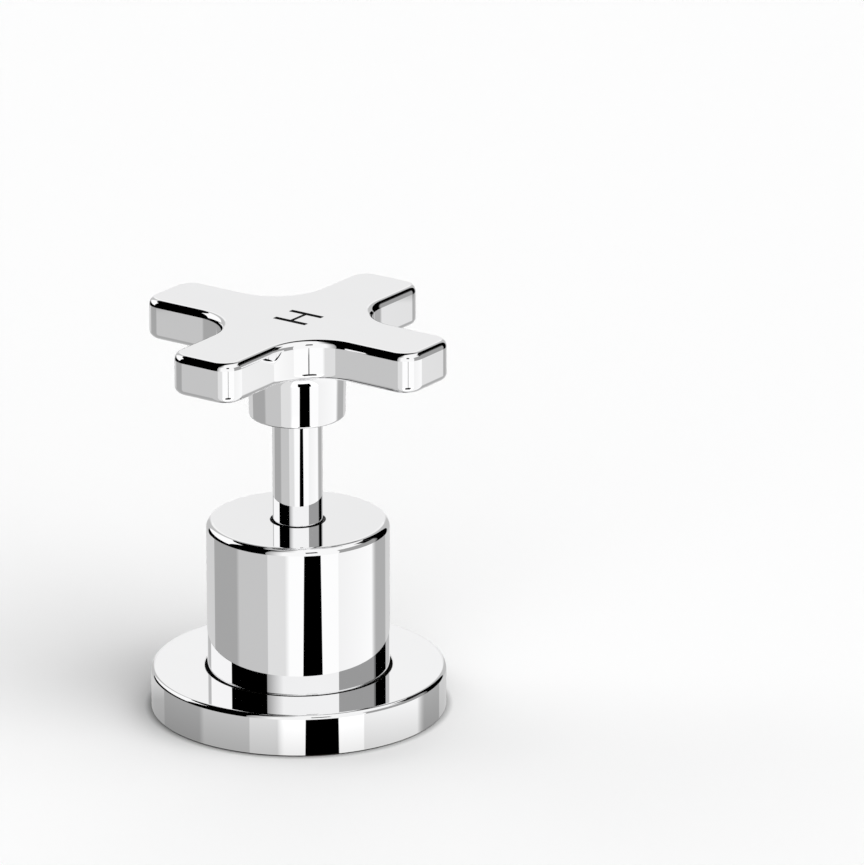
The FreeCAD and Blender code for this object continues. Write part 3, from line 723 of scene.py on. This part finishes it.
@dataclass
class HandleHub:
    """Round hub that flares out under the handle, with a spigot above and a tapped hole at the back."""

    taper: float = math.radians(1.0)
    low_round: float = 0.5
    cove: float = 2.8
    lip: float = 0.1
    bore: float = 4.67
    bore_top: float = 69.0
    spigot: float = 6.0
    hole: float = 2.55
    hole_height: float = SCREW_HEIGHT

    def build(self) -> Object:
        """Build, dress and return the hub."""
        flare, low, spigot_top = span("handle_hub")
        _, shoulder, _ = span("cross_handle")
        radius, neck = flare - self.cove - self.lip, shoulder - self.lip
        lean = (neck - low) / 2 * math.tan(self.taper)
        bm = turned((
            Corner(0, spigot_top), Corner(self.spigot, spigot_top), Corner(self.spigot, shoulder),
            Corner(flare, shoulder), Corner(flare, neck), Corner(radius + lean, neck, self.cove),
            Corner(radius - lean, low, self.low_round), Corner(self.bore, low),
            Corner(self.bore, self.bore_top), Corner(0, self.bore_top)), closed=False)
        drill = laid(cylinder(self.hole, 0, 2 * radius), Axis.BACK, (0, 0, self.hole_height))
        bm = combined(bm, Operation.CUT, drill)
        return make_piece("polished_hub", bm, Body.TURNING, (CHROME,), "handle_hub")


@dataclass
class GrubScrew:
    """Threaded screw at the back of the hub, with a hexagon socket in its outer end."""

    radius: float = 2.5
    length: float = 4.45
    foot: float = 4.15
    height: float = SCREW_HEIGHT
    key: float = 2.5
    key_depth: float = 2.2
    bevel: float = 0.4

    def build(self) -> Object:
        """Build, dress and return the screw."""
        bm = SCREW_THREAD.spigot(self.radius, self.length, self.bevel, 0.0)
        socket = hexagon(self.key, self.length - self.key_depth, self.length + self.bevel)
        bm = laid(combined(bm, Operation.CUT, socket), Axis.BACK, (0, self.foot, self.height))
        return make_piece("grub_screw", bm, Body.TURNING, (STEEL,), "hub_grub_screw")


@dataclass
class BodyCover:
    """Round cover that screws down on the shank; the stem leaves through its roof."""

    edge_round: float = 1.3
    foot_round: float = 0.3
    hole: float = 5.15
    hole_round: float = 0.12
    bush_seat: float = 6.5
    bush_top: float = 35.3
    roof_low: float = 32.5
    core: float = 14.25
    thread: float = 15.05
    thread_top: float = 17.0
    lead: float = 0.4

    def build(self) -> Object:
        """Build, dress and return the cover."""
        radius, low, high = span("body_cover")
        bm = turned((
            Corner(self.thread + self.lead, low), Corner(radius, low, self.foot_round),
            Corner(radius, high, self.edge_round), Corner(self.hole, high, self.hole_round),
            Corner(self.hole, self.bush_top),
            Corner(self.bush_seat, self.bush_top), Corner(self.bush_seat, self.roof_low),
            Corner(self.core, self.roof_low), Corner(self.core, self.thread_top),
            Corner(self.thread, self.thread_top), Corner(self.thread, low + self.lead)))
        return make_piece("polished_cover", bm, Body.FIXED, (CHROME,), "body_cover")


@dataclass
class Flange:
    """Flange on the hob, with the cover's counterbore, a ring groove and a seal groove underneath.

    The counterbore below its rounded rim, the faces on the hob and the bevel of the foot are coloured near
    black as painted shade, for the dark gap round the cover and the dark line at the hob.
    """

    edge_round: float = 0.8
    rim_round: float = 0.25
    foot_bevel: float = 0.25
    shank_hole: float = 15.3
    seal_inner: float = 20.5
    seal_outer: float = 24.5
    seal_depth: float = 2.0
    cover_bore: float = 17.45
    cover_low: float = 3.5
    groove: float = 18.85
    groove_low: float = 4.85
    groove_high: float = 6.75

    def build(self) -> Object:
        """Build, dress and return the flange."""
        radius, low, high = span("flange")
        bm = turned((
            Corner(self.shank_hole, low), Corner(self.seal_inner, low),
            Corner(self.seal_inner, self.seal_depth), Corner(self.seal_outer, self.seal_depth),
            Corner(self.seal_outer, low),
            Corner(radius - self.foot_bevel, low), Corner(radius, low + self.foot_bevel),
            Corner(radius, high, self.edge_round), Corner(self.cover_bore, high, self.rim_round),
            Corner(self.cover_bore, self.groove_high), Corner(self.groove, self.groove_high),
            Corner(self.groove, self.groove_low), Corner(self.cover_bore, self.groove_low),
            Corner(self.cover_bore, self.cover_low), Corner(self.shank_hole, self.cover_low)))
        # Painted shade: the counterbore, the faces on the hob and the foot's bevel take the near-black
        # finish.
        for face in bm.faces:
            middle = face.calc_center_median()
            recess = middle.xy.length < self.cover_bore + MERGE and middle.z < high - self.rim_round
            face.material_index = int(recess or middle.z < low + self.foot_bevel)
        return make_piece("polished_flange", bm, Body.FIXED, (CHROME, RECESS_SHADE), "flange")


@dataclass
class ValveBody:
    """Brass body under the hob: threaded shank, barrel with spanner flats, threaded inlet and outlet."""

    shank: float = 15.0
    shank_low: float = -34.0
    barrel: float = 17.5
    barrel_low: float = -60.0
    flats: float = 15.5
    neck: float = 12.5
    neck_low: float = -64.0
    pipe: float = 10.4775
    lead: float = 0.8
    overlap: float = 1.5
    shank_bore: float = 12.0
    land: float = 10.5
    land_top: float = -31.0
    land_low: float = -42.0
    chamber: float = 11.5
    seat: float = -58.0
    water: float = 6.0
    outlet_height: float = -50.0
    boss_reach: float = 22.5

    def barrel_solid(self) -> BMesh:
        """Turn the barrel, still solid inside, cut its two flats and join the outlet's boss."""
        bm = turned((
            Corner(0, self.neck_low), Corner(self.neck, self.neck_low, self.lead),
            Corner(self.barrel, self.barrel_low), Corner(self.barrel, self.shank_low - self.lead),
            Corner(self.barrel - self.lead, self.shank_low), Corner(0, self.shank_low)), closed=False)
        for side in (-1, 1):
            trim(bm, (0, side * self.flats, 0), (0, side, 0))
            fill_holes(bm)
        boss = turned((Corner(0, 0), Corner(self.neck, 0), Corner(self.neck, self.boss_reach, self.lead),
                       Corner(0, self.boss_reach)), closed=False)
        return combined(closed_up(bm), Operation.JOIN, laid(boss, Axis.RIGHT, (0, 0, self.outlet_height)))

    def limbs(self) -> tuple[BMesh, ...]:
        """Make what is joined to the barrel: the shank, the inlet and the outlet's spigot."""
        reach, low, high = span("valve_body")
        shank = SHANK_THREAD.spigot(self.shank, high - self.shank_low, self.lead, self.overlap)
        inlet = PIPE_THREAD.spigot(self.pipe, self.neck_low - low, self.lead, self.overlap)
        outlet = PIPE_THREAD.spigot(self.pipe, reach - self.boss_reach, self.lead, self.overlap)
        return (laid(shank, Axis.UP, (0, 0, self.shank_low)), laid(inlet, Axis.DOWN, (0, 0, self.neck_low)),
                laid(outlet, Axis.RIGHT, (self.boss_reach, 0, self.outlet_height)))

    def waterway(self) -> BMesh:
        """Make what is cut from the body: the stepped bore on the axis, joined to the outlet's."""
        reach, low, high = span("valve_body")
        past = self.overlap
        axial = turned((
            Corner(0, high + past), Corner(self.shank_bore + self.lead + past, high + past),
            Corner(self.shank_bore, high - self.lead), Corner(self.shank_bore, self.land_top),
            Corner(self.land, self.land_top), Corner(self.land, self.land_low),
            Corner(self.chamber, self.land_low), Corner(self.chamber, self.seat),
            Corner(self.water, self.seat), Corner(self.water, low - past),
            Corner(0, low - past)), closed=False)
        outlet = cylinder(self.water, self.water, reach + past)
        return combined(axial, Operation.JOIN, laid(outlet, Axis.RIGHT, (0, 0, self.outlet_height)))

    def build(self) -> Object:
        """Build, dress and return the body."""
        bm = combined(self.barrel_solid(), Operation.JOIN, *self.limbs())
        bm = combined(bm, Operation.CUT, self.waterway())
        return make_piece("threaded_body", bm, Body.FIXED, (BRASS,), "valve_body")


@dataclass
class Backnut:
    """Hexagon nut on the shank under the hob, bevelled on both faces and threaded inside."""

    flats: float = 38.0
    bevel: float = 1.6
    thread: float = 15.05
    lead: float = 0.5
    past: float = 1.0

    def build(self) -> Object:
        """Build, dress and return the nut."""
        _, low, high = span("backnut")
        inner, corner = self.flats / 2, self.flats / 2 / HEXAGON_SLANT
        rise = self.bevel / (corner - inner)
        tools = []
        for face, side in ((low, -1), (high, 1)):
            past, deep = face + side * self.past, face - side * (self.lead + self.past)
            tools.append(turned((
                Corner(inner - self.past, face + side * rise * self.past), Corner(corner + self.past, past),
                Corner(corner + self.past, face - side * (self.bevel + rise * self.past)))))
            tools.append(turned((
                Corner(0, past), Corner(self.thread + self.lead + self.past, past),
                Corner(self.thread - self.past, deep), Corner(0, deep)), closed=False))
        bm = combined(hexagon(self.flats, low, high), Operation.CUT, *tools)
        rod = SHANK_THREAD.rod(self.thread, low - self.past, high + self.past)
        bm = combined(bm, Operation.CUT, rod)
        return make_piece("hexagon_nut", bm, Body.FIXED, (BRASS,), "backnut")


@dataclass
class Washer:
    """Flat ring on the shank with rounded edges.

    Attributes:
        node: Solid that it replaces.
        name: Name of the piece.
        finish: Its finish.
        edge_round: Round on its edges.
        bore: Radius of its hole.
    """

    node: str
    name: str
    finish: Finish
    edge_round: float
    bore: float = 15.3

    def build(self) -> Object:
        """Build, dress and return the washer."""
        radius, low, high = span(self.node)
        bm = turned([Corner(reach, level, self.edge_round) for reach, level in
                     ((self.bore, low), (radius, low), (radius, high), (self.bore, high))])
        return make_piece(self.name, bm, Body.FIXED, (self.finish,), self.node)


@dataclass
class Stem:
    """Slim stem between hub and cover: its solid's own mesh, with evenly shaded faces."""

    node: str = "spindle_extension"

    def build(self) -> Object:
        """Build, dress and return the stem."""
        bm = bmesh.new()
        bm.from_mesh(frame["nodes"][self.node].data)
        bmesh.ops.remove_doubles(bm, verts=bm.verts[:], dist=MERGE * MM)
        return make_piece("polished_stem", bm, Body.TURNING, (CHROME,), self.node, scale=1.0)


def dress_solids() -> list[Object]:
    """Give every solid of the frame the finish of its slot, and return the solids that show."""
    stock = (CHROME, BRASS, STEEL, RUBBER, CERAMIC, ACETAL, PTFE, FIBRE)
    finishes = {finish.slot: finish for finish in stock}
    for part in frame["record"]["subparts"]:
        solid = frame["nodes"][part["node"]]
        material = finishes[Slot(part["material_slot"])].material()
        if not solid.material_slots:
            solid.data.materials.append(material)
        for place in solid.material_slots:
            place.material = material
    return [solid for solid in frame["nodes"].values() if not solid.hide_render]


class Sky(Sheet):
    """Node sheet of the world, painted by the bearing and the elevation that are looked at.

    Bearings are in degrees round the tap, from the camera's side, growing towards the picture's right, and
    elevations in degrees above the level.

    Attributes:
        edge: Half the width of a soft edge at an elevation.
    """

    edge: float = 0.06

    def __init__(self, tree: NodeTree, front: Vector) -> None:
        """Start on an empty tree, with the level direction of bearing zero."""
        super().__init__(tree)
        facing = self.node("ShaderNodeVectorRotate", rotation_type="Z_AXIS")
        self.feed(-math.atan2(front.y, front.x), facing.inputs["Angle"])
        self.feed(self.node("ShaderNodeTexCoord").outputs["Generated"], facing.inputs["Vector"])
        x, y, z = self.split(facing.outputs["Vector"])
        self.bearing = self.math("DEGREES", self.math("ARCTAN2", y, x))
        self.elevation = self.math("DEGREES", self.math("ARCSINE", z))

    def above(self, level: float) -> NodeSocket:
        """Mask what is above an elevation."""
        return self.step(self.elevation, level, self.edge)

    def below(self, level: float) -> NodeSocket:
        """Mask what is below an elevation."""
        return self.step(self.elevation, level, self.edge, rising=False)


@dataclass(frozen=True)
class Card:
    """Card, wall or stretch of floor in the studio.

    Attributes:
        start: Bearing of its left side.
        stop: Bearing of its right side, greater than the start.
        level: Level of its light.
        stop_level: Level at its right side, where it differs.
        low: Elevation of its foot.
        high: Elevation of its top.
        soft_start: Width of its left side's soft edge.
        soft_stop: Width of its right side's soft edge.
    """

    start: float
    stop: float
    level: float
    stop_level: float | None = None
    low: float = NADIR
    high: float = ZENITH
    soft_start: float = 0.4
    soft_stop: float = 0.4

    def painted(self, sky: Sky, behind: NodeSocket | float) -> NodeSocket:
        """Return the level of light with the card in front of what is behind it."""
        middle, half = (self.start + self.stop) / 2, (self.stop - self.start) / 2
        aside = sky.math("WRAP", sky.math("SUBTRACT", sky.bearing, middle), BEHIND, -BEHIND)
        masks = [sky.step(aside, -half, self.soft_start / 2),
                 sky.step(aside, half, self.soft_stop / 2, rising=False)]
        if self.low > NADIR:
            masks.append(sky.above(self.low))
        if self.high < ZENITH:
            masks.append(sky.below(self.high))
        level = self.level
        if self.stop_level is not None:
            level = sky.mapped(aside, (self.level, self.stop_level), -half, half)
        return sky.mix(sky.product(*masks), behind, level)


@dataclass(frozen=True)
class Stand:
    """Dark stand that metal mirrors: a thin rod on a foot that widens downwards.

    Attributes:
        bearing: Bearing of its middle.
        rod_top: Elevation of the rod's top.
        rod_half: Half width of the rod.
        foot_top: Elevation of the foot's top.
        foot_low: Elevation of the foot's lower end.
        foot_half: Half width of the foot where it is widest.
        spread: Half width of the foot one degree below its top.
        taper: Power of the depth below its top that the foot widens with.
        edge: Half the width of its soft sides.
    """

    bearing: float = 19.0
    rod_top: float = -18.1
    rod_half: float = 1.1
    foot_top: float = -18.5
    foot_low: float = -48.0
    foot_half: float = 16.3
    spread: float = 9.35
    taper: float = 1 / 3
    edge: float = 0.2

    def painted(self, sky: Sky, behind: NodeSocket) -> NodeSocket:
        """Return the level of light with the stand in front of what is behind it."""
        aside = sky.math("ABSOLUTE", sky.math("SUBTRACT", sky.bearing, self.bearing))
        depth = sky.math("MAXIMUM", sky.math("SUBTRACT", self.foot_top, sky.elevation), 0.0)
        spread = sky.math("MULTIPLY", sky.math("POWER", depth, self.taper), self.spread)
        half = sky.math("MAXIMUM", sky.math("MINIMUM", spread, self.foot_half), self.rod_half)
        across = sky.step(sky.math("SUBTRACT", aside, half), 0.0, self.edge, rising=False)
        return sky.mix(sky.product(across, sky.above(self.foot_low), sky.below(self.rod_top)), behind, 0.0)


@dataclass
class Studio:
    """Camera, hob and light, with bearings and elevations as in the sky."""

    azimuth: float = -54.94
    elevation: float = 18.97
    distance: float = 1573.1
    aim: Place = (141.4, 68.9, 0.0)
    lens: float = 318.0
    sensor: float = 36.0
    hob_size: float = 6000.0
    hob_gap: float = 0.02
    hob_colour: Colour = (0.95, 0.95, 0.95)
    # Painted contact shadow on the hob: its grey, the reach and samples of the occlusion, and the occlusion
    # at which the grey is full.
    contact_shade_colour: Colour = (0.5, 0.5, 0.5)
    contact_shade_reach: float = 1.5
    contact_shade_full: float = 0.55
    contact_shade_samples: int = 6
    gain: float = 1.655
    key: Card = Card(25, 85, 2.0, low=12, high=50, soft_start=20, soft_stop=20)
    front_level: float = 1.0
    back_level: float = 0.66
    floor_line: float = -17.8
    near_line: float = -20.9
    stand: Stand = Stand()

    def walls(self) -> tuple[Card, ...]:
        """Place the walls and cards above the floor, in the order in which they cover each other."""
        box_low, box_top, grey_top = 7.0, 46.0, 28.0
        back_wall = Card(145, 215, 0.55, high=box_top)
        back_light = Card(166, 196, 0.88, high=box_top, soft_start=6, soft_stop=6)
        back_glow = Card(166, 196, 0.95, low=20.2, high=box_top, soft_start=6, soft_stop=6)
        left_box = Card(-145, -93, 1.05, high=box_top)
        left_gap = Card(-145, -92, 0.0, high=box_low)
        left_fade = Card(-39.5, -18, 0.34, 1.0)
        left_flag = Card(-93, -39.2, 0.0)
        dark_ceiling = Card(-220, -24, 0.0, low=box_top, soft_start=30, soft_stop=44)
        grey_wall = Card(53, 114, 0.36, high=grey_top)
        right_flag = Card(113, 145, 0.0, high=box_top, soft_start=5)
        right_shade = Card(95, 114, 0.0, low=22, high=box_top, soft_start=4)
        lens_shade = Card(11, 27, 0.0, low=23.5, high=41)
        return (back_wall, back_light, back_glow, left_box, left_gap, left_fade, left_flag, dark_ceiling,
                grey_wall, right_flag, right_shade, lens_shade)

    def floor(self) -> tuple[Card, ...]:
        """Place the stretches of mirrored floor, in the order in which they cover each other."""
        left_back = Card(-130, -60, 0.40)
        left = Card(-81, -20, 0.58, soft_start=5)
        left_front = Card(-38, 0, 0.78)
        right = Card(53, 112, 0.95, 1.04, soft_stop=10)
        right_back = Card(112, 144, 0.44, soft_start=10)
        front = Card(-13, 53, 1.05, soft_start=6)
        near_left = Card(-180, -130, 0.5, high=self.near_line)
        near_front = Card(-13, 53, 1.2, high=self.near_line, soft_start=6)
        return left_back, left, left_front, right, right_back, front, near_left, near_front

    def towards(self, bearing: float, elevation: float) -> Vector:
        """Return the direction from the tap at a bearing and an elevation, both in degrees."""
        turn, rise = math.radians(self.azimuth + bearing), math.radians(elevation)
        return Vector((math.sin(turn) * math.cos(rise), -math.cos(turn) * math.cos(rise), math.sin(rise)))

    def make_camera(self) -> None:
        """Stand the camera where the photograph was taken from."""
        data = bpy.data.cameras.new("camera")
        data.lens, data.sensor_width = self.lens, self.sensor
        camera = bpy.data.objects.new("camera", data)
        bpy.context.scene.collection.objects.link(camera)
        back = self.towards(0, self.elevation)
        camera.location = (Vector(self.aim) + back * self.distance) * MM
        camera.rotation_euler = (-back).to_track_quat("-Z", "Y").to_euler()
        bpy.context.scene.camera = camera

    def make_hob(self) -> None:
        """Lay the pale hob, which metal doesn't mirror: it mirrors the studio's cards instead. Its colour is
        greyed near the tap by ambient occlusion, as a painted contact shadow.
        """
        bm = bmesh.new()
        bmesh.ops.create_grid(bm, x_segments=1, y_segments=1, size=self.hob_size * MM,
                              matrix=Matrix.Translation((0, 0, -self.hob_gap * MM)))
        hob = linked_object("hob_top", bm)
        material, sheet, surface = new_material("pale_hob", "ShaderNodeBsdfDiffuse")
        # Painted contact shadow: the hob's colour goes to grey where ambient occlusion finds the tap close
        # by.
        corner = sheet.node("ShaderNodeAmbientOcclusion", samples=self.contact_shade_samples)
        sheet.feed(self.contact_shade_reach * MM, corner.inputs["Distance"])
        contact_shade = sheet.mapped(corner.outputs["AO"], (1.0, 0.0), self.contact_shade_full, 1.0)
        colour = sheet.mix(contact_shade, self.hob_colour, self.contact_shade_colour, Mixed.COLOUR)
        sheet.feed(colour, surface.inputs["Color"])
        hob.data.materials.append(material)
        hob.visible_glossy = False

    def make_world(self) -> None:
        """Light the scene from the studio's cards, which metal mirrors; the camera sees plain white.

        The light that metal throws back on the hob is left out.
        """
        world = bpy.data.worlds.new("studio")
        world.use_nodes = True
        bpy.context.scene.world = world
        sky = Sky(world.node_tree, self.towards(0, 0))
        walls, floor = self.front_level, self.back_level
        for card in self.walls():
            walls = card.painted(sky, walls)
        for item in (*self.floor(), self.stand):
            floor = item.painted(sky, floor)
        mirrored = sky.mix(sky.above(self.floor_line), floor, walls)
        path = sky.node("ShaderNodeLightPath").outputs
        thrown = sky.math("MULTIPLY", self.key.painted(sky, mirrored), self.gain)
        lit = sky.mix(path["Is Glossy Ray"], thrown, mirrored)
        unscattered = sky.math("LESS_THAN", path["Diffuse Depth"], 1.0)
        lit = sky.math("MULTIPLY", lit, sky.math("MAXIMUM", path["Is Diffuse Ray"], unscattered))
        direct = sky.math("MAXIMUM", path["Is Camera Ray"], path["Is Transmission Ray"])
        background = sky.node("ShaderNodeBackground")
        sky.feed(sky.mix(direct, lit, 1.0), background.inputs["Color"])
        sky.feed(background.outputs[0], sky.node("ShaderNodeOutputWorld").inputs["Surface"])

    def build(self) -> None:
        """Build the whole studio."""
        bpy.context.scene.view_settings.view_transform = "Standard"
        self.make_camera()
        self.make_hob()
        self.make_world()


def main() -> None:
    """Build every piece, dress the rest and set up the studio, logging each piece and dressed solid."""
    logging.basicConfig(level=logging.INFO, format="%(message)s")
    washers = (Washer("deck_washer", "rubber_washer", RUBBER, edge_round=0.5),
               Washer("clamp_washer", "steel_washer", STEEL, edge_round=0.2))
    for part in (CrossHandle(), HandleHub(), GrubScrew(), BodyCover(), Flange(), ValveBody(), Backnut(),
                 *washers, Stem()):
        piece = part.build()
        log.info("%s: %d faces", piece.name, len(piece.data.polygons))
    for solid in dress_solids():
        log.info("%s: dressed as %s", solid.name, solid.active_material.name)
    Studio().build()


if __name__ == "__main__":
    main()
